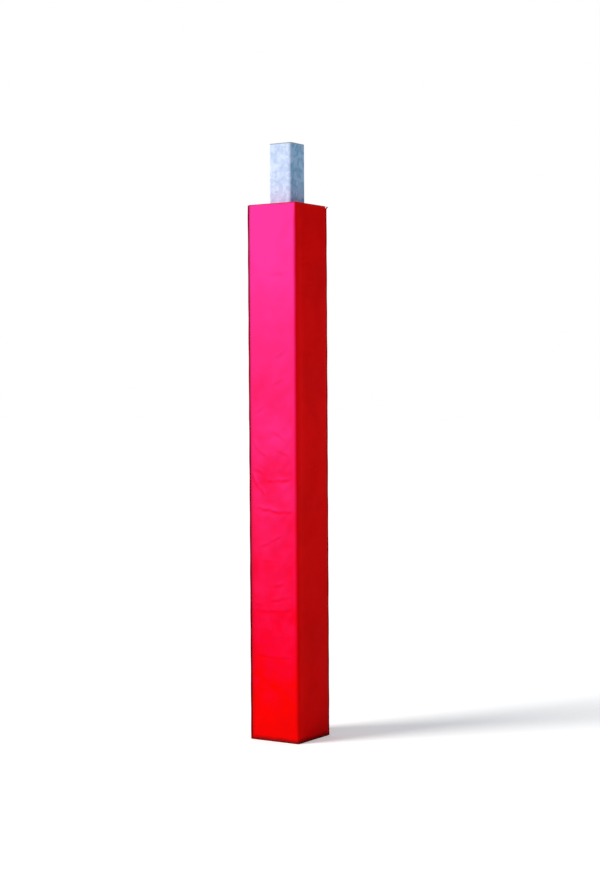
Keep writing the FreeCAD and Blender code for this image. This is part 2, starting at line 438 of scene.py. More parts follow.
def mapCloth(mesh, across, up):
    # the cloth map: where each point lies on the flat sheet, in metres
    corners = np.zeros(len(mesh.loops), int)
    mesh.loops.foreach_get("vertex_index", corners)
    layer = mesh.uv_layers.get("cloth") or mesh.uv_layers.new(name="cloth")
    layer.data.foreach_set("uv", np.stack([across[corners], up[corners]], 1).ravel())


def makeGrid(name, across, up):
    # a flat sheet with its columns and rows where the two lists say
    across, up = np.array(across), np.array(up)
    bm = bmesh.new()
    bmesh.ops.create_grid(bm, x_segments=len(across) - 1, y_segments=len(up) - 1, size=1)
    mesh = meshFrom(bm, name)
    points = readPoints(mesh)
    low, high = points.min(0), points.max(0)
    column = np.rint((points[:, 0] - low[0]) / (high[0] - low[0]) * (len(across) - 1)).astype(int)
    row = np.rint((points[:, 1] - low[1]) / (high[1] - low[1]) * (len(up) - 1)).astype(int)
    u, v = across[column], up[row]
    mapCloth(mesh, u, v)
    return mesh, u, v, column, row


# A path seen from above: straight runs joined by arcs. Going along it, the
# outside is on the right hand.

def layPath(corners, radii):
    corners = [Vector(corner) for corner in corners]
    rows, here, total = [], corners[0], 0.0
    for index, radius in enumerate([*radii, 0.0]):
        along = (corners[index + 1] - corners[index]).normalized()
        heading = math.atan2(along.y, along.x)
        stop, turn, tangent = corners[index + 1], 0.0, 0.0
        if radius:
            onward = (corners[index + 2] - corners[index + 1]).normalized()
            turn = math.atan2(along.cross(onward), along.dot(onward))
            tangent = radius * math.tan(abs(turn) / 2)
            stop = stop - along * tangent
        rows.append((total, here.x, here.y, heading, 0.0))
        total += (stop - here).length
        if radius:
            rows.append((total, stop.x, stop.y, heading, math.copysign(1 / radius, turn)))
            total += radius * abs(turn)
            here = corners[index + 1] + onward * tangent
    rows.append((total, 0, 0, 0, 0))
    return np.array(rows)


def alongPath(path, distance):
    index = np.clip(np.searchsorted(path[:, 0], distance, side="right") - 1, 0, len(path) - 2)
    start, x, y, heading, bend = path[index].T
    run = distance - start
    turn = heading + bend * run
    straight = np.abs(bend) < 1e-9
    safe = np.where(straight, 1, bend)
    x = x + np.where(straight, run * np.cos(heading), (np.sin(turn) - np.sin(heading)) / safe)
    y = y + np.where(straight, run * np.sin(heading), (np.cos(heading) - np.cos(turn)) / safe)
    outward = np.stack([np.sin(turn), -np.cos(turn), 0 * turn], 1)
    return np.stack([x, y, 0 * x], 1), outward


def columnsAlong(path, cell, arcCells):
    found = [0.0]
    for (start, *_, bend), (end, *_) in zip(path[:-1], path[1:]):
        if end - start > 0.01 * mm:
            found += spaced(start, end, (end - start) / arcCells if bend else cell)[1:]
    return found


# The cover: three sheets that wrap the foam. The first covers the two sides that
# show most, with the soft fold between them, the others run on from its seams to
# the edges that close at the fourth corner.

coverPlan = {
    "cell": 5.4 * mm,
    "rowCell": 3.0 * mm,
    "arcCells": 8,
    "edgeRound": 2.4 * mm,     # radius where a sheet turns over at the top and foot
    "edgeLip": 1.6 * mm,       # how far it then runs in
    "hemRound": 1.6 * mm,      # radius at the closing edge
    "hemRun": 9 * mm,          # turned in at the closing edge
    "crown": 2.3 * mm,         # how far a face swells between its folds
    "crownRound": 12.8 * mm,   # radius of the soft corners that this makes
    "crownEnds": 70 * mm,      # how far from the foot and the top the swelling takes
    "dent": 0.9 * mm,          # broad unevenness of the foam underneath
    "crumple": 0.45 * mm,      # small sharp creases
    "give": 0.3 * mm,          # how softly a crease meets the foam
    "tabPress": 16 * mm,       # how far round a pull tab the cover is pressed down
}
lip, edgeRound = coverPlan["edgeLip"], coverPlan["edgeRound"]
rise = padTop - 2 * edgeRound
arcRun = edgeRound * math.pi / 2
coverUp = rise + 2 * arcRun + 2 * lip                     # a cover sheet's cut length
soft = half - foldRadius
hemLine = half - flapStep["fold"]                         # where face and hem would meet
hemEnd = hemLine - (coverPlan["hemRun"] + 4 * mm) / math.sqrt(2)
coverPaths = {
    "cover_front_right": layPath([(-soft, -half), (half, -half), (half, soft)], [foldRadius]),
    "cover_back_sheet": layPath(
        [(half, soft), (half, half), (-hemLine, half), (-hemEnd, hemEnd + half - hemLine)],
        [foldRadius, coverPlan["hemRound"]],
    ),
    "cover_left_sheet": layPath(
        [(hemLine - half - hemEnd, hemEnd), (-half, hemLine), (-half, -half), (-soft, -half)],
        [coverPlan["hemRound"], foldRadius],
    ),
}


def upProfile(v):
    # how far in and how high a cover sheet is, at v up its cut length
    def fromEnd(run):
        angle = np.clip((run - lip) / edgeRound, 0, math.pi / 2)
        inwards = np.maximum(lip - run, 0) + edgeRound * (1 - np.sin(angle))
        return inwards, edgeRound * (1 - np.cos(angle)) + np.maximum(run - lip - arcRun, 0)

    footIn, footUp = fromEnd(v)
    topIn, topDown = fromEnd(coverUp - v)
    height = np.where(v < coverUp / 2, footUp, padTop - topDown)
    return footIn + topIn, height


def coverRows():
    turnStops = spaced(lip, lip + arcRun, arcRun / 4)
    low = [0, lip / 2] + turnStops
    middle = spaced(lip + arcRun, coverUp - lip - arcRun, coverPlan["rowCell"])
    return low + middle[1:-1] + [coverUp - stop for stop in reversed(low)]


# Creases in the sunny face, listed one by one: from (across, up) to (across, up),
# across as a share of the face from its left fold, up in metres, then depth in mm.
frontCreases = [
    (0.55, 1.308, 0.84, 1.332, 0.7),
    (0.52, 1.217, 0.84, 1.243, 0.8),
    (0.10, 1.258, 0.25, 1.252, 0.5),
    (0.05, 1.122, 0.30, 1.137, 0.6),
    (0.52, 1.058, 0.84, 1.024, 0.8),
    (0.03, 1.026, 0.34, 0.970, 1.1),
    (0.56, 1.002, 0.84, 0.974, 0.8),
    (0.05, 0.932, 0.30, 0.912, 0.9),
    (0.02, 0.912, 0.30, 0.842, 1.9),
    (0.36, 0.890, 0.93, 0.897, 1.3),
    (0.07, 0.800, 0.42, 0.789, 1.7),
    (0.38, 0.790, 0.93, 0.784, 1.8),
    (0.22, 0.664, 0.66, 0.701, 1.3),
    (0.25, 0.617, 0.50, 0.614, 0.8),
    (0.46, 0.527, 0.75, 0.542, 1.0),
    (0.45, 0.481, 0.90, 0.497, 1.2),
    (0.05, 0.466, 0.30, 0.463, 0.9),
    (0.10, 0.446, 0.92, 0.452, 0.9),
    (0.08, 0.296, 0.90, 0.288, 0.8),
    (0.20, 0.175, 0.60, 0.168, 0.5),
    (0.30, 1.600, 0.75, 1.588, 0.6),
]


def looseCreases(seed, count, depth):
    # slanted creases scattered over a face that the picture doesn't show, or shows dark
    dice = random.Random(seed)
    found = []
    for _ in range(count):
        start, run = dice.uniform(0.03, 0.6), dice.uniform(0.2, 0.38)
        up, slope = dice.uniform(0.15, padTop - 0.15), dice.uniform(-0.035, 0.035)
        found.append((start, up, min(start + run, 0.95), up + slope, depth * dice.uniform(0.4, 1)))
    return found


creases = [frontCreases, looseCreases(11, 9, 0.6), looseCreases(23, 14, 1.2), looseCreases(37, 14, 1.2)]
creaseShape = {
    "width": 4.4 * mm,         # half the width of the valley
    "depth": 1.2,              # share of the depths as listed
    "end": 16 * mm,            # how far a crease takes to fade at its ends
    "bow": 0.05,
    "wander": 2.6 * mm,
    "ripples": (95, 210),      # radians to the metre, of its wandering
    "lip": 0.6,
    "swell": 0.5,
}


def creaseHeight(face, across, up):
    # wandering valleys, each with a raised lip above it and a softer swell below
    raised, width = 0 * across, creaseShape["width"]
    for index, (x0, z0, x1, z1, depth) in enumerate(creases[face]):
        ax, az = x0 * flatRun, z0
        dx, dz = x1 * flatRun - ax, z1 - az
        length = math.hypot(dx, dz)
        along = ((across - ax) * dx + (up - az) * dz) / length
        off = ((up - az) * dx - (across - ax) * dz) / length
        off = off + creaseShape["bow"] * length * np.sin(np.clip(along / length, 0, 1) * math.pi)
        slow, quick = creaseShape["ripples"]
        drift = np.sin(along * slow + 2.1 * index) + 0.6 * np.sin(along * quick + 4.3 * index)
        off = off + creaseShape["wander"] * 0.6 * drift
        fade = between(-0.6 * creaseShape["end"], creaseShape["end"], along, length)
        fade = fade * (0.8 + 0.35 * np.sin(along * 70 + 1.7 * index))
        valley = np.exp(-((off / width) ** 2))
        above = creaseShape["lip"] * np.exp(-(((off - 2.2 * width) / (1.6 * width)) ** 2))
        below = creaseShape["swell"] * np.exp(-(((off + 3 * width) / (2.6 * width)) ** 2))
        raised += creaseShape["depth"] * depth * mm * fade * (above + below - valley)
    return raised


def unevenness(face, across, up):
    # broad dents, and small sharp creases that run mostly level
    dents, crumples = 0 * across, 0 * across
    for index, (a, z) in enumerate(zip(across.tolist(), up.tolist())):
        dents[index] = noise.fractal((a * 9, z * 7, 3.1 * face), 0.9, 2.0, 3)
        ridge = noise.ridged_multi_fractal((a * 11, z * 22, 5 + 2.3 * face), 1.0, 2.1, 4, 1.0, 2.0)
        crumples[index] = 1.1 - ridge
    return dents, crumples


def faceShare(normals, face):
    # 1 on a face, and 0 once the cover has turned past a fold
    angle = math.radians(90 * face - 90)
    facing = normals[:, 0] * math.cos(angle) + normals[:, 1] * math.sin(angle)
    return smooth(0.9, 1.0, facing)


def faceAcross(places, face):
    # distance along a face from its first fold
    angle = math.radians(90 * face)
    return places[:, 0] * math.cos(angle) + places[:, 1] * math.sin(angle) + soft


roughFaces = (1.0, 0.45, 0.8, 0.8)                        # how uneven each face is


def fromRound(places):
    # from the middle of the nearest soft corner's arc, or of the flat face, out to each point
    middle = half + coverPlan["crown"] - coverPlan["crownRound"]
    return np.sign(places[:, :2]) * np.maximum(np.abs(places[:, :2]) - middle, 0)


def crownAt(places, normals, up):
    # how far, along its normal, a point is from a slightly larger square with rounder corners
    away, radius = fromRound(places), coverPlan["crownRound"]
    ahead = (away * normals[:, :2]).sum(1)
    swell = np.sqrt(np.maximum(ahead**2 - (away**2).sum(1) + radius**2, 0)) - ahead
    return np.maximum(swell, 0) * between(0, coverPlan["crownEnds"], up, padTop)


def settled(height):
    # the foam behind stops a crease from going deeper than the flat sheet
    give = coverPlan["give"]
    return give * np.logaddexp(0, height / give) - give * math.log(2)


def pressedAt(places):
    # 1 where a pull tab is sewn down on the left face, so the cover lies flat there
    reach, edge = coverPlan["tabPress"], 2 * mm
    pressed = 0 * places[:, 0]
    for low, high in tabLevels:
        above = smooth(low - edge - reach, low - edge, places[:, 2])
        below = 1 - smooth(high + edge, high + edge + reach, places[:, 2])
        beside = smooth(tabLow.y - edge - reach, tabLow.y - edge, places[:, 1])
        pressed = np.maximum(pressed, above * below * beside)
    return pressed * (places[:, 0] < -soft)


def faceRelief(places, normals, up):
    # how far each face's creases stand off it
    creased = 0 * up
    for face in range(4):
        share = faceShare(normals, face)
        across = faceAcross(places, face)
        near = between(3 * mm, 16 * mm, across, flatRun)
        creased += share * near * creaseHeight(face, across, up)
        here = share > 0.01
        dents, crumples = unevenness(face, across[here], up[here])
        middle = smooth(0.25, 0.5, up[here]) * (1 - 0.8 * smooth(1.0, 1.45, up[here]))
        uneven = coverPlan["dent"] * dents + coverPlan["crumple"] * crumples * (0.15 + 0.85 * middle)
        creased[here] += share[here] * near[here] * roughFaces[face] * uneven
    return creased


# where the painted sky sheen lies on the cover
sunSheen = {
    "towards": (-0.55, -0.83),   # the way the sun stood, seen from above
    "creaseShade": 0.34,         # painted shade in the creases: how much more sheen the ridges get than the valleys, to the mm
    "edge": 1.4,               # how soon it ends round a corner
    "power": 1.58,
    "steps": (                 # height of a change, over what height, how much, fading over
        (0.292, 3 * mm, 0.02, 0.25),
        (0.452, 3 * mm, 0.02, 0.25),
        (0.787, 3 * mm, 0.02, 0.25),
        (0.93, 0.08, 0.05, 0.4),
        (1.45, 0.1, 0.09, 2.0),
    ),
}


def skySheenAt(places, up):
    # painted sky reflection: how pink the sheen makes the cover, most at the top of the sunny face
    tone = np.clip(up / padTop, 0, 1) ** sunSheen["power"]
    for height, over, change, fading in sunSheen["steps"]:
        tone = tone + change * (smooth(-over, over, up - height) - smooth(0, fading, up - height))
    away = fromRound(places)
    sunny = away @ sunSheen["towards"] / np.linalg.norm(away, axis=1) / -sunSheen["towards"][1]
    return np.clip(tone, 0, 1.05) * np.clip(sunny, 0, 1) ** sunSheen["edge"]


wearAndLightPlan = {"reach": 30 * mm, "faces": (0, 1, 0.5, 0), "middle": 1.13, "spread": 0.42}


def wearAndLightAt(places, normals, up):
    # painted light on the shaded faces, with rubbed wear: brighter along their folds, and some at hand
    # height
    wearAndLight = 0 * up
    height = np.exp(-(((up - wearAndLightPlan["middle"]) / wearAndLightPlan["spread"]) ** 2))
    for face in range(4):
        across = faceAcross(places, face)
        first = np.exp(-((across / wearAndLightPlan["reach"]) ** 2)) * (0.45 + 0.55 * height)
        second = 0.5 * np.exp(-(((flatRun - across) / (0.5 * wearAndLightPlan["reach"])) ** 2))
        share = faceShare(normals, face) * wearAndLightPlan["faces"][face]
        wearAndLight += share * np.clip(first + second + 0.6 * height, 0, 1)
    return wearAndLight


bindingDarkeningPlan = {                  # at each bound corner: how far the darkening reaches, and how dark it is
    "left": (-half, -half, 6 * mm, 0.8),
    "right": (half, half, 11 * mm, 0.34),
    "lowDown": 1.4,            # how much further it reaches at the foot than at the top
}


def bindingDarkeningAt(places, up):
    # darker beside the bound corners' seams, more so low down
    bindingDarkening = 0 * up
    lower = 1 + bindingDarkeningPlan["lowDown"] * (1 - smooth(0.2, 1.3, up))
    for x, y, reach, most in (bindingDarkeningPlan["left"], bindingDarkeningPlan["right"]):
        away = np.hypot(places[:, 0] - x, places[:, 1] - y) - 2 * mm
        bindingDarkening = np.maximum(bindingDarkening, most * np.exp(-np.maximum(away, 0) / (0.5 * reach * lower)))
    return bindingDarkening


clothPlan = {
    "frames": 18,
    "slack": 0.004,            # share by which the sheets are cut too large
    "kept": 0.34,              # share of the sag that the foam behind lets stand
    "limit": 2.0 * mm,
    "settings": {
        "quality": 5,
        "mass": 0.35,
        "tension_stiffness": 60,
        "compression_stiffness": 60,
        "shear_stiffness": 10,
        "bending_stiffness": 0.05,
    },
}


def settleCover(name, start, columns, rows, free):
    # lets a slack sheet sag and buckle between the seams and folds that hold it,
    # and gives back how far each point moved
    mesh, _, _, column, row = makeGrid(name + "_slack", columns, rows)
    writePoints(mesh, start)
    sheet = bpy.data.objects.new(name + "_slack", mesh)
    scene.collection.objects.link(sheet)
    held = sheet.vertex_groups.new(name="held")
    for index in np.flatnonzero(free < 0.999):
        held.add([int(index)], float(1 - free[index]), "REPLACE")

    cloth = sheet.modifiers.new("cloth", "CLOTH")
    for key, value in clothPlan["settings"].items():
        setattr(cloth.settings, key, value)
    cloth.settings.shrink_min = -clothPlan["slack"]
    cloth.settings.shrink_max = -clothPlan["slack"]
    cloth.settings.vertex_group_mass = "held"
    cloth.collision_settings.use_collision = False
    cloth.point_cache.frame_end = clothPlan["frames"]
    for now in range(1, clothPlan["frames"] + 1):
        scene.frame_set(now)
    graph = bpy.context.evaluated_depsgraph_get()
    moved = readPoints(sheet.evaluated_get(graph).to_mesh()) - start
    scene.frame_set(1)
    bpy.data.objects.remove(sheet)
    length = np.linalg.norm(moved, axis=1, keepdims=True)
    print(name, "settled, at most", round(float(length.max() / mm), 2), "mm")
    limit = clothPlan["limit"]
    kept = clothPlan["kept"] * length
    moved *= limit * np.tanh(kept / limit) / np.maximum(length, 1e-9)
    field = np.zeros((row.max() + 1, column.max() + 1, 3))
    field[row, column] = moved
    return field


def refined(field):
    # a smooth field on twice as many cells, along both ways
    for axis in (0, 1):
        field = np.moveaxis(field, axis, 0)
        padded = np.concatenate([2 * field[:1] - field[1:2], field, 2 * field[-1:] - field[-2:-1]])
        between = (9 * (padded[1:-2] + padded[2:-1]) - padded[:-3] - padded[3:]) / 16
        finer = np.empty((2 * len(field) - 1, *field.shape[1:]))
        finer[0::2], finer[1::2] = field, between
        field = np.moveaxis(finer, 0, axis)
    return field


def freeShare(places, normals, up):
    # where a cover sheet is free to move: inside each face, away from seams and folds
    free = 0 * up
    for face in range(4):
        across = faceAcross(places, face)
        free += faceShare(normals, face) * between(3 * mm, 18 * mm, across, flatRun)
    return free * between(8 * mm, 40 * mm, up, padTop)


def sagShare(normals, up):
    # the sunny face sags most in its lower middle, and little near its top and foot
    lower = smooth(0.1, 0.45, up) * (1 - 0.55 * smooth(1.0, 1.5, up))
    front = faceShare(normals, 0)
    right = faceShare(normals, 1)
    return (1 - front - right) * 0.7 + front * lower + right * 0.3 * lower


def makeCover(name, hem, nodes):
    path = coverPaths[name]
    columns, rows = columnsAlong(path, coverPlan["cell"], coverPlan["arcCells"]), coverRows()

    def lay(u, v):
        places, normals = alongPath(path, u)
        inwards, height = upProfile(v)
        hemmed = smooth(*hem, u) if hem else 0 * u
        places = places - normals * (inwards * (1 - 0.8 * hemmed))[:, None]
        places[:, 2] = height
        return places, normals, hemmed

    mesh, u, v, column, row = makeGrid(name, columns, rows)
    places, normals, hemmed = lay(u, v)
    up = places[:, 2]
    # painted light on the shaded faces, with rubbed wear
    setAttribute(mesh, "wearAndLight", wearAndLightAt(places, normals, up))
    setAttribute(mesh, "bindingDarkening", bindingDarkeningAt(places, up))
    # painted sky sheen, strongest at the top of the sunny face
    skySheen = skySheenAt(places, up) * (1 - hemmed)
    crown = crownAt(places, normals, up) * (1 - hemmed)
    creased = faceRelief(places, normals, up)
    slack, su, sv, _, _ = makeGrid(name + "_cut", columns[::2], rows[::2])
    bpy.data.meshes.remove(slack)
    loose, looseNormals, _ = lay(su, sv)
    free = freeShare(loose, looseNormals, loose[:, 2])
    loose += looseNormals * faceRelief(loose, looseNormals, loose[:, 2])[:, None]
    field = refined(settleCover(name, loose, columns[::2], rows[::2], free))
    sagged = field[row, column] * sagShare(normals, up)[:, None]
    outwards = (sagged * normals).sum(1)
    places = places + sagged - normals * outwards[:, None]
    crown = crown + outwards
    # painted shade in the creases: less sheen in the valleys, more on the ridges
    fading = np.clip(1 + sunSheen["creaseShade"] * (creased - np.median(creased)) / mm, 0.25, 1.5)
    setAttribute(mesh, "skySheen", skySheen * (1 + (fading - 1) * (1 - 0.6 * smooth(1.0, 1.5, up))))
    raised = settled(crown + creased) * (1 - pressedAt(places))
    writePoints(mesh, places + normals * raised[:, None])
    piece = newPiece(name, mesh, coverRed)
    addSolidify(piece, sheetThick)
    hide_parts(*nodes)
    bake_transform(piece)


# Foam, linings and end sheets

def softened(node, name, radius, segments, material):
    # a solid from the frame with its edges rounded
    bm = bmesh.new()
    bm.from_mesh(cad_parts[node].data)
    bmesh.ops.remove_doubles(bm, verts=bm.verts, dist=0.01 * mm)
    bmesh.ops.dissolve_limit(bm, angle_limit=math.radians(2), verts=bm.verts, edges=bm.edges)
    sharp = [edge for edge in bm.edges if edge.is_manifold and edge.calc_face_angle() > math.radians(25)]
    bmesh.ops.bevel(
        bm, geom=sharp, offset=radius, segments=segments, profile=0.5, affect="EDGES",
        material=-1, clamp_overlap=True,
    )
    for layer in list(bm.loops.layers.uv):
        bm.loops.layers.uv.remove(layer)
    mesh = meshFrom(bm, name)
    mesh.materials.clear()
    piece = newPiece(name, mesh, material)
    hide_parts(node)
    return piece


def layCloth(mesh, across, up=(0, 0, 1)):
    # a cloth map in metres along two directions
    points = readPoints(mesh)
    mapCloth(mesh, points @ across, points @ up)


for side in panels:
    foam = softened(f"foam_{side}", f"foam_bar_{side}", 2.5 * mm, 3, foamCells)
    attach(foam, f"{side}_panel")
print("foam made")

liningPlan = {"cornerRound": 1.6 * mm, "cell": 7 * mm, "sag": 0.35 * mm}


def makeLining(side):
    # a channel: in along one mitre face, past the post, and out along the other
    turn, first, second = panels[side]
    path = layPath(
        [
            (flapEnd[second] - flapStep[second], -flapEnd[second]),
            (liningHalf - flapStep[second], -liningHalf),
            (flapStep[first] - liningHalf, -liningHalf),
            (flapStep[first] - flapEnd[first], -flapEnd[first]),
        ],
        [liningPlan["cornerRound"]] * 2,
    )
    columns = columnsAlong(path, liningPlan["cell"], 4)
    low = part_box(f"lining_{side}")[0].z
    rows = spaced(low, padTop - low, liningPlan["cell"])
    mesh, u, v, _, _ = makeGrid(f"lining_sheet_{side}", columns, rows)
    places, normals = alongPath(path, u)
    places[:, 2] = v
    # the cloth lies a little loose on the foam between its glued lines
    ripple = np.sin(v * 61 + 2.0 * np.sin(u * 37)) * np.sin(u * 83 + turn)
    inside = between(0, 12 * mm, u, columns[-1])
    places = places - normals * (liningPlan["sag"] * (0.5 + 0.5 * ripple) * inside)[:, None]
    writePoints(mesh, places)
    turnMesh(mesh, turn)
    piece = newPiece(mesh.name, mesh, liningCloth)
    addSolidify(piece, liningThick)
    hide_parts(f"lining_{side}")
    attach(piece, f"{side}_panel")


for side in panels:
    makeLining(side)
print("linings made")

endPlan = {
    "tuck": 2.2 * mm,          # how far in from the cover's outside an end sheet starts
    "drop": 1.1 * mm,          # how far its edge lies below the cover's rim
    "crown": 2.4 * mm,         # how far a top sheet swells above its edge
    "footGap": 0.7 * mm,       # how high the edge of a foot sheet is
    "footCrown": 0.6 * mm,
    "cell": 3.2 * mm,
    "crownRun": 9 * mm,        # how far in from its edge it has swelled
    "pucker": 0.22 * mm,
    "puckerRun": 9 * mm,
    "puckerIn": 5 * mm,
    "skySheen": 0.55,            # painted sky sheen of the top sheets
    "wearAndLight": 0.3,
}


def makeEnd(side, atTop):
    turn, first, second = panels[side]
    outer, inner = half - endPlan["tuck"], liningHalf
    across = spaced(-1, 1, endPlan["cell"] / half)
    depth = spaced(0, 1, endPlan["cell"] / (outer - inner))
    kind = "top" if atTop else "foot"
    mesh, p, q, _, _ = makeGrid(f"{kind}_sheet_{side}", across, depth)
    y = inner + (outer - inner) * (q if atTop else 1 - q)
    step = np.where(p < 0, flapStep[first], flapStep[second])
    x = p * (y - step)
    edge = np.minimum(np.minimum((1 - np.abs(p)) * y, y - inner), outer - y)
    puff = 1 - np.exp(-((edge / endPlan["crownRun"]) ** 1.3))
    pucker = endPlan["pucker"] * np.sin(2 * math.pi * (x + 0.4 * y) / endPlan["puckerRun"] + turn)
    pucker = pucker * np.exp(-edge / endPlan["puckerIn"])
    if atTop:
        height = padTop - endPlan["drop"] + endPlan["crown"] * puff + pucker
    else:
        height = endPlan["footGap"] - endPlan["footCrown"] * puff
    writePoints(mesh, np.stack([x, -y, height], 1))
    mesh.flip_normals()
    layCloth(mesh, (1, 0, 0), (0, 1, 0))
    turnMesh(mesh, turn)
    piece = newPiece(mesh.name, mesh, coverRed)
    # painted sky sheen on the top sheets
    setAttribute(mesh, "skySheen", (endPlan["skySheen"] if atTop else 0) + 0 * p)
    setAttribute(mesh, "wearAndLight", endPlan["wearAndLight"] * np.exp(-edge / (4 * mm)))
    addSolidify(piece, sheetThick)
    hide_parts(f"{kind}_end_{side}")
    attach(piece, f"{side}_panel")


for side in panels:
    makeEnd(side, True)
    makeEnd(side, False)
print("ends made")

# The cover's sheets, each going round a soft corner
nearFold = (("front_panel", "right_panel"), (soft, -half, 0), (half, -soft, 0))
rightFold = (("right_panel", "back_panel"), (half, soft, 0), (soft, half, 0))
leftFold = (("front_panel", "left_panel"), (-soft, -half, 0), (-half, -soft, 0))
backHem, leftHem = coverPaths["cover_back_sheet"][3, 0], coverPaths["cover_left_sheet"][2, 0]
hemTurn = 6 * mm
makeCover("cover_front_right", None, ("cover_front", "cover_right", "fold_near"))
makeCover("cover_back_sheet", (backHem - hemTurn, backHem), ("cover_back", "fold_right"))
makeCover("cover_left_sheet", (leftHem + hemTurn, leftHem), ("cover_left", "fold_left"))
print("cover made")

# Binding along the edges and the two sewn corners

bindingPlan = {
    "thick": 2.0 * mm,
    "fin": 5.6 * mm,           # how deep the corner binding is, along the diagonal
    "proud": 2.4 * mm,         # how far it stands beyond the square corner
    "edgeTall": 2.2 * mm,
    "sides": 10,
    "cell": 8 * mm,
    "tail": 6 * mm,            # the loose end at the top of the right corner
    "tailRun": 7 * mm,         # how far below its top it starts to lean out
}


def makeTube(length, wide, deep, cell):
    # an upright tube of oval section with closed ends
    bm = bmesh.new()
    bmesh.ops.create_cone(
        bm, cap_ends=True, segments=bindingPlan["sides"], radius1=0.5, radius2=0.5, depth=length
    )
    upright = [edge for edge in bm.edges if abs(edge.verts[0].co.z - edge.verts[1].co.z) > length / 2]
    bmesh.ops.subdivide_edges(bm, edges=upright, cuts=int(length / cell))
    bmesh.ops.scale(bm, vec=(wide, deep, 1), verts=bm.verts)
    bmesh.ops.translate(bm, vec=(0, 0, length / 2), verts=bm.verts)
    return bm


def finishBinding(name, mesh, darkened):
    low = 1 - smooth(0.1, 1.5, readPoints(mesh)[:, 2])
    setAttribute(mesh, "bindingDarkening", darkened * (0.8 + 0.2 * low))
    piece = newPiece(name, mesh, coverRed)
    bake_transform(piece)


def bindEdge(name, path, run, level, darkened):
    # a narrow tape folded over a sheet's top or foot edge
    bm = makeTube(run[1] - run[0], bindingPlan["thick"], bindingPlan["edgeTall"], 2 * mm)
    mesh = meshFrom(bm, name)
    points = readPoints(mesh)
    along = points[:, 2] + run[0]
    places, normals = alongPath(path, along)
    wobble = 0.15 * mm * np.sin(along * 160) + 0.1 * mm * np.sin(along * 410)
    places = places + normals * (points[:, 0] - bindingPlan["thick"] / 2 + 0.6 * mm + wobble)[:, None]
    places[:, 2] = level + points[:, 1]
    writePoints(mesh, places)
    mesh.flip_normals()
    layCloth(mesh, (0.7, 0.7, 0))
    finishBinding(name, mesh, darkened)


def bindCorner(name, turn, darkened, tail):
    # a folded tape sewn over the seam that stands out along a corner
    low, high = 1.0 * mm, padTop - 0.5 * mm
    bm = makeTube(high - low, bindingPlan["fin"], bindingPlan["thick"], bindingPlan["cell"])
    mesh = meshFrom(bm, name)
    points = readPoints(mesh)
    up = points[:, 2] + low
    corner = math.sqrt(2) * half + bindingPlan["proud"] - bindingPlan["fin"] / 2
    loose = smooth(high - bindingPlan["tailRun"], high, up)
    wobble = 0.35 * mm * np.sin(up * 31) + 0.25 * mm * np.sin(up * 83 + 1)
    slant = points[:, 1] * (1 - 0.6 * loose * (tail > 0)) + wobble
    reach = corner + points[:, 0] + tail * loose + 0.3 * mm * np.sin(up * 47 + turn)
    diagonal = math.radians(turn - 45)
    c, s = math.cos(diagonal), math.sin(diagonal)
    writePoints(mesh, np.stack([reach * c - slant * s, reach * s + slant * c, up], 1))
    layCloth(mesh, (c, s, 0))
    finishBinding(name, mesh, darkened)


for name, run, fold in (
    ("front_right", (0, coverPaths["cover_front_right"][-1, 0]), nearFold),
    ("back_sheet", (0, backHem), rightFold),
    ("left_sheet", (leftHem, coverPaths["cover_left_sheet"][-1, 0]), leftFold),
):
    # the foot tapes darker than the top ones: painted contact shadow with dirt
    for place, level, darkened in (("top", padTop - 0.2 * mm, 0.25), ("foot", 1.2 * mm, 0.8)):
        bindEdge(f"edge_tape_{place}_{name}", coverPaths["cover_" + name], run, level, darkened)
bindCorner("corner_tape_left", 270, 0.78, 0)
bindCorner("corner_tape_right", 90, 0.45, bindingPlan["tail"])
print("edges bound")

# Hook and loop strips, pull tabs and thread

for kind, material, body in (("loop", loopPile, "back_panel"), ("hook", hookPile, "left_panel")):
    tape = softened(f"{kind}_strip", f"{kind}_tape", 0.35 * mm, 2, material)
    layCloth(tape.data, (math.sqrt(0.5), -math.sqrt(0.5), 0))
    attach(tape, body)

tabPlan = {"thick": 1.05 * mm, "bend": 1.1 * mm, "cell": 2.0 * mm, "gap": 0.05 * mm}


def makePullTabs():
    # a short strap doubled over, its fold towards the closing edge
    near, far = tabHigh.x - tabPlan["gap"], tabLow.x + tabPlan["gap"]
    path = layPath(
        [(near, tabLow.y), (near, tabHigh.y), (far, tabHigh.y), (far, tabLow.y)], [tabPlan["bend"]] * 2
    )
    columns = columnsAlong(path, tabPlan["cell"], 6)
    bm = bmesh.new()
    for bottom, top in tabLevels:
        mesh, u, v, _, _ = makeGrid("tab", columns, spaced(bottom, top, tabPlan["cell"]))
        places, normals = alongPath(path, u)
        places[:, 2] = v
        writePoints(mesh, places)
        bm.from_mesh(mesh)
        bpy.data.meshes.remove(mesh)
    piece = newPiece("pull_tab_straps", meshFrom(bm, "pull_tab_straps"), webbing)
    addSolidify(piece, tabPlan["thick"])
    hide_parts("pull_tabs")
    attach(piece, "left_panel")


makePullTabs()
print("closure made")

threadPlan = {"length": 3.6 * mm, "pitch": 5.0 * mm, "thick": 0.75 * mm, "sunk": 0.12 * mm}


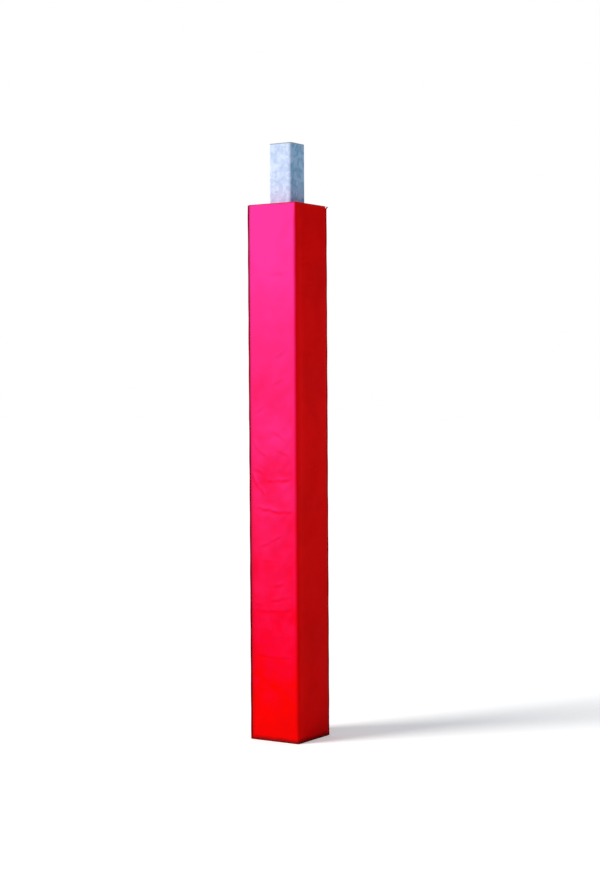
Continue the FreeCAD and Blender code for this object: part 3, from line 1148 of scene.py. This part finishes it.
def sewLines(name, body, lines, thread, share=1.0, onCover=False):
    # rows of stitches, each row from one point to another on a face that looks outward
    length, pitch = threadPlan["length"] * share, threadPlan["pitch"] * share
    thick = threadPlan["thick"] * share
    bm = bmesh.new()
    for start, end, outward in lines:
        start, end, outward = Vector(start), Vector(end), Vector(outward).normalized()
        along = (end - start).normalized()
        frameOf = Matrix((along, outward.cross(along), outward)).transposed().to_4x4()
        shape = frameOf @ Matrix.Diagonal((length / 2, thick / 2, thick / 2, 1))
        count = int((end - start).length / pitch)
        spare = ((end - start).length - (count - 1) * pitch) / 2
        places = [start + along * (spare + index * pitch) for index in range(count)]
        lift = np.zeros(count)
        if onCover:
            points, facing = np.array(places), np.array([outward] * count)
            lift = settled(crownAt(points, facing, points[:, 2])) * (1 - pressedAt(points))
        for place, height in zip(places, lift):
            here = place + outward * (float(height) - threadPlan["sunk"])
            bmesh.ops.create_icosphere(
                bm, subdivisions=1, radius=1, matrix=Matrix.Translation(here) @ shape
            )
    piece = newPiece(name, meshFrom(bm, name), thread)
    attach(piece, body)


seamPlan = {"fromEdge": 5.5 * mm, "fromFold": 4 * mm, "fromHem": 6 * mm}


def outwardOf(turn):
    angle = math.radians(turn - 90)
    return Vector((math.cos(angle), math.sin(angle), 0))


def onFace(turn, across, up):
    # a point on a face, across from its first fold
    point = Vector((across - soft, -half, up))
    return Matrix.Rotation(math.radians(turn), 4, "Z") @ point


for side, (turn, first, second) in panels.items():
    edge, fold = seamPlan["fromEdge"], seamPlan["fromFold"]
    left = fold if first == "fold" else seamPlan["fromHem"] - (hemLine - soft)
    right = flatRun - fold if second == "fold" else flatRun - seamPlan["fromHem"] + (hemLine - soft)
    lines = []
    for up in (edge, padTop - edge):
        lines.append((onFace(turn, left, up), onFace(turn, right, up), outwardOf(turn)))
    sewn = {"front": (left,), "right": (right,), "back": (left, right), "left": (left, right)}
    for across in sewn[side]:
        lines.append(
            (onFace(turn, across, edge), onFace(turn, across, padTop - edge), outwardOf(turn))
        )
    sewLines(f"seam_thread_{side}", f"{side}_panel", lines, redThread, onCover=True)
print("seams sewn")


tabSeam = {"inset": 2.5 * mm, "reach": 21 * mm, "share": 0.6}


def sewTabs():
    # a box with a cross in it, on each tab
    lines = []
    face, inset = tabLow.x + tabPlan["gap"], tabSeam["inset"]
    y0, y1 = tabLow.y + inset, tabLow.y + tabSeam["reach"]
    for bottom, top in tabLevels:
        z0, z1 = bottom + inset, top - inset
        box = [(face, y0, z0), (face, y1, z0), (face, y1, z1), (face, y0, z1)]
        for first, second in ((0, 1), (1, 2), (2, 3), (3, 0), (0, 2), (1, 3)):
            lines.append((box[first], box[second], (-1, 0, 0)))
    sewLines("tab_thread", "left_panel", lines, greyThread, tabSeam["share"])


tapeSeam = {"inset": 2.5 * mm, "fromEnds": 3 * mm, "thick": 0.85 * mm, "share": 0.8}


def sewTapes():
    # two rows up each strip, on the side that meets the other strip
    thick, fromEnds = tapeSeam["thick"], tapeSeam["fromEnds"]
    for kind, body, away, inLow, inHigh in (
        ("loop", "back_panel", (-1, -1, 0), 0, thick),
        ("hook", "left_panel", (1, 1, 0), thick, 0),
    ):
        low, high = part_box(f"{kind}_strip")
        first = Vector((low.x + inLow, high.y - inHigh, low.z + fromEnds))
        last = Vector((high.x - inHigh, low.y + inLow, low.z + fromEnds))
        inwards = (last - first).normalized() * tapeSeam["inset"]
        tall = Vector((0, 0, high.z - low.z - 2 * fromEnds))
        lines = [(foot, foot + tall, away) for foot in (first + inwards, last - inwards)]
        sewLines(f"{kind}_thread", body, lines, greyThread, tapeSeam["share"])


sewTabs()
sewTapes()
print("closure sewn")

# Post and plug
for node, material in (("post_tube", steel), ("top_plug", plugPlastic)):
    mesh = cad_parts[node].data
    mesh.materials.clear()
    mesh.materials.append(material)
print("post finished")


# Floor, light and camera

studioPlan = {
    "floor": (0.87, 0.87, 0.87),
    "floorRoughness": 0.9,
    "floorSpecular": 0.1,
    "floorLift": 0.32,         # brings the floor up to white, for the camera alone
    "sky": (0.87, 0.98, 1.08),
    "skyStrength": 0.32,
    "sun": (1.0, 0.975, 0.935),
    "sunFrom": (-0.45, -0.64, 0.60),
    "sunStrength": 2.95,
    "sunSpread": 22,           # degrees
}


def pickShader(tree, factor, first, second):
    pick = tree.nodes.new("ShaderNodeMixShader")
    return feedAll(tree, pick, (factor, first.outputs[0], second.outputs[0]))


def makeFloor():
    bm = bmesh.new()
    bmesh.ops.create_grid(bm, x_segments=1, y_segments=1, size=60)
    floor = bpy.data.objects.new("floor", meshFrom(bm, "floor"))
    floor.data.transform(Matrix.Translation((0, 0, -0.3 * mm)))
    scene.collection.objects.link(floor)
    material, tree = newMaterial("paleFloor")
    shader = tree.nodes["Principled BSDF"]
    feed(tree, shader.inputs["Base Color"], studioPlan["floor"])
    feed(tree, shader.inputs["Roughness"], studioPlan["floorRoughness"])
    feed(tree, shader.inputs["Specular IOR Level"], studioPlan["floorSpecular"])
    lift = addNode(tree, "ShaderNodeEmission", Strength=studioPlan["floorLift"])
    none = addNode(tree, "ShaderNodeEmission", Strength=0.0)
    seen = addNode(tree, "ShaderNodeLightPath").outputs["Is Camera Ray"]
    both = tree.nodes.new("ShaderNodeAddShader")
    feedAll(tree, both, (shader.outputs[0], pickShader(tree, seen, none, lift)))
    feed(tree, tree.nodes["Material Output"].inputs["Surface"], both.outputs[0])
    floor.data.materials.append(material)


def lightWorld():
    world = bpy.data.worlds.new("studio")
    scene.world = world
    world.use_nodes = True
    tree = world.node_tree
    dim = tree.nodes["Background"]
    feedAll(tree, dim, (studioPlan["sky"], studioPlan["skyStrength"]))
    white = addNode(tree, "ShaderNodeBackground", Color=(1, 1, 1), Strength=1.0)
    rays = addNode(tree, "ShaderNodeLightPath").outputs
    seen = addMath(tree, "MAXIMUM", rays["Is Camera Ray"], rays["Is Glossy Ray"])
    seen = addMath(tree, "MAXIMUM", seen, rays["Is Transmission Ray"])
    feed(tree, tree.nodes["World Output"].inputs["Surface"], pickShader(tree, seen, dim, white))


def addSun():
    lamp = bpy.data.lights.new("key", "SUN")
    lamp.energy = studioPlan["sunStrength"]
    lamp.color = studioPlan["sun"]
    lamp.angle = math.radians(studioPlan["sunSpread"])
    holder = bpy.data.objects.new("key", lamp)
    holder.rotation_euler = Vector(studioPlan["sunFrom"]).to_track_quat("Z", "Y").to_euler()
    scene.collection.objects.link(holder)


cameraPlan = {
    "place": (3.383, -5.125, 1.1895),
    "yaw": -33.066,
    "pitch": -1.675,
    "roll": -0.339,
    "lens": 72.2,
}


def placeCamera():
    yaw, pitch, roll = (math.radians(cameraPlan[key]) for key in ("yaw", "pitch", "roll"))
    ahead = Vector((math.sin(yaw) * math.cos(pitch), math.cos(yaw) * math.cos(pitch), math.sin(pitch)))
    right = Vector((math.cos(yaw), -math.sin(yaw), 0))
    above = right.cross(ahead)
    right, above = (
        right * math.cos(roll) + above * math.sin(roll),
        above * math.cos(roll) - right * math.sin(roll),
    )
    camera = bpy.data.cameras.new("camera")
    camera.lens = cameraPlan["lens"]
    camera.clip_end = 200
    holder = bpy.data.objects.new("camera", camera)
    holder.matrix_world = (
        Matrix.Translation(cameraPlan["place"])
        @ Matrix((right, above, -ahead)).transposed().to_4x4()
    )
    scene.collection.objects.link(holder)
    scene.camera = holder


makeFloor()
lightWorld()
addSun()
placeCamera()
print("stage set")
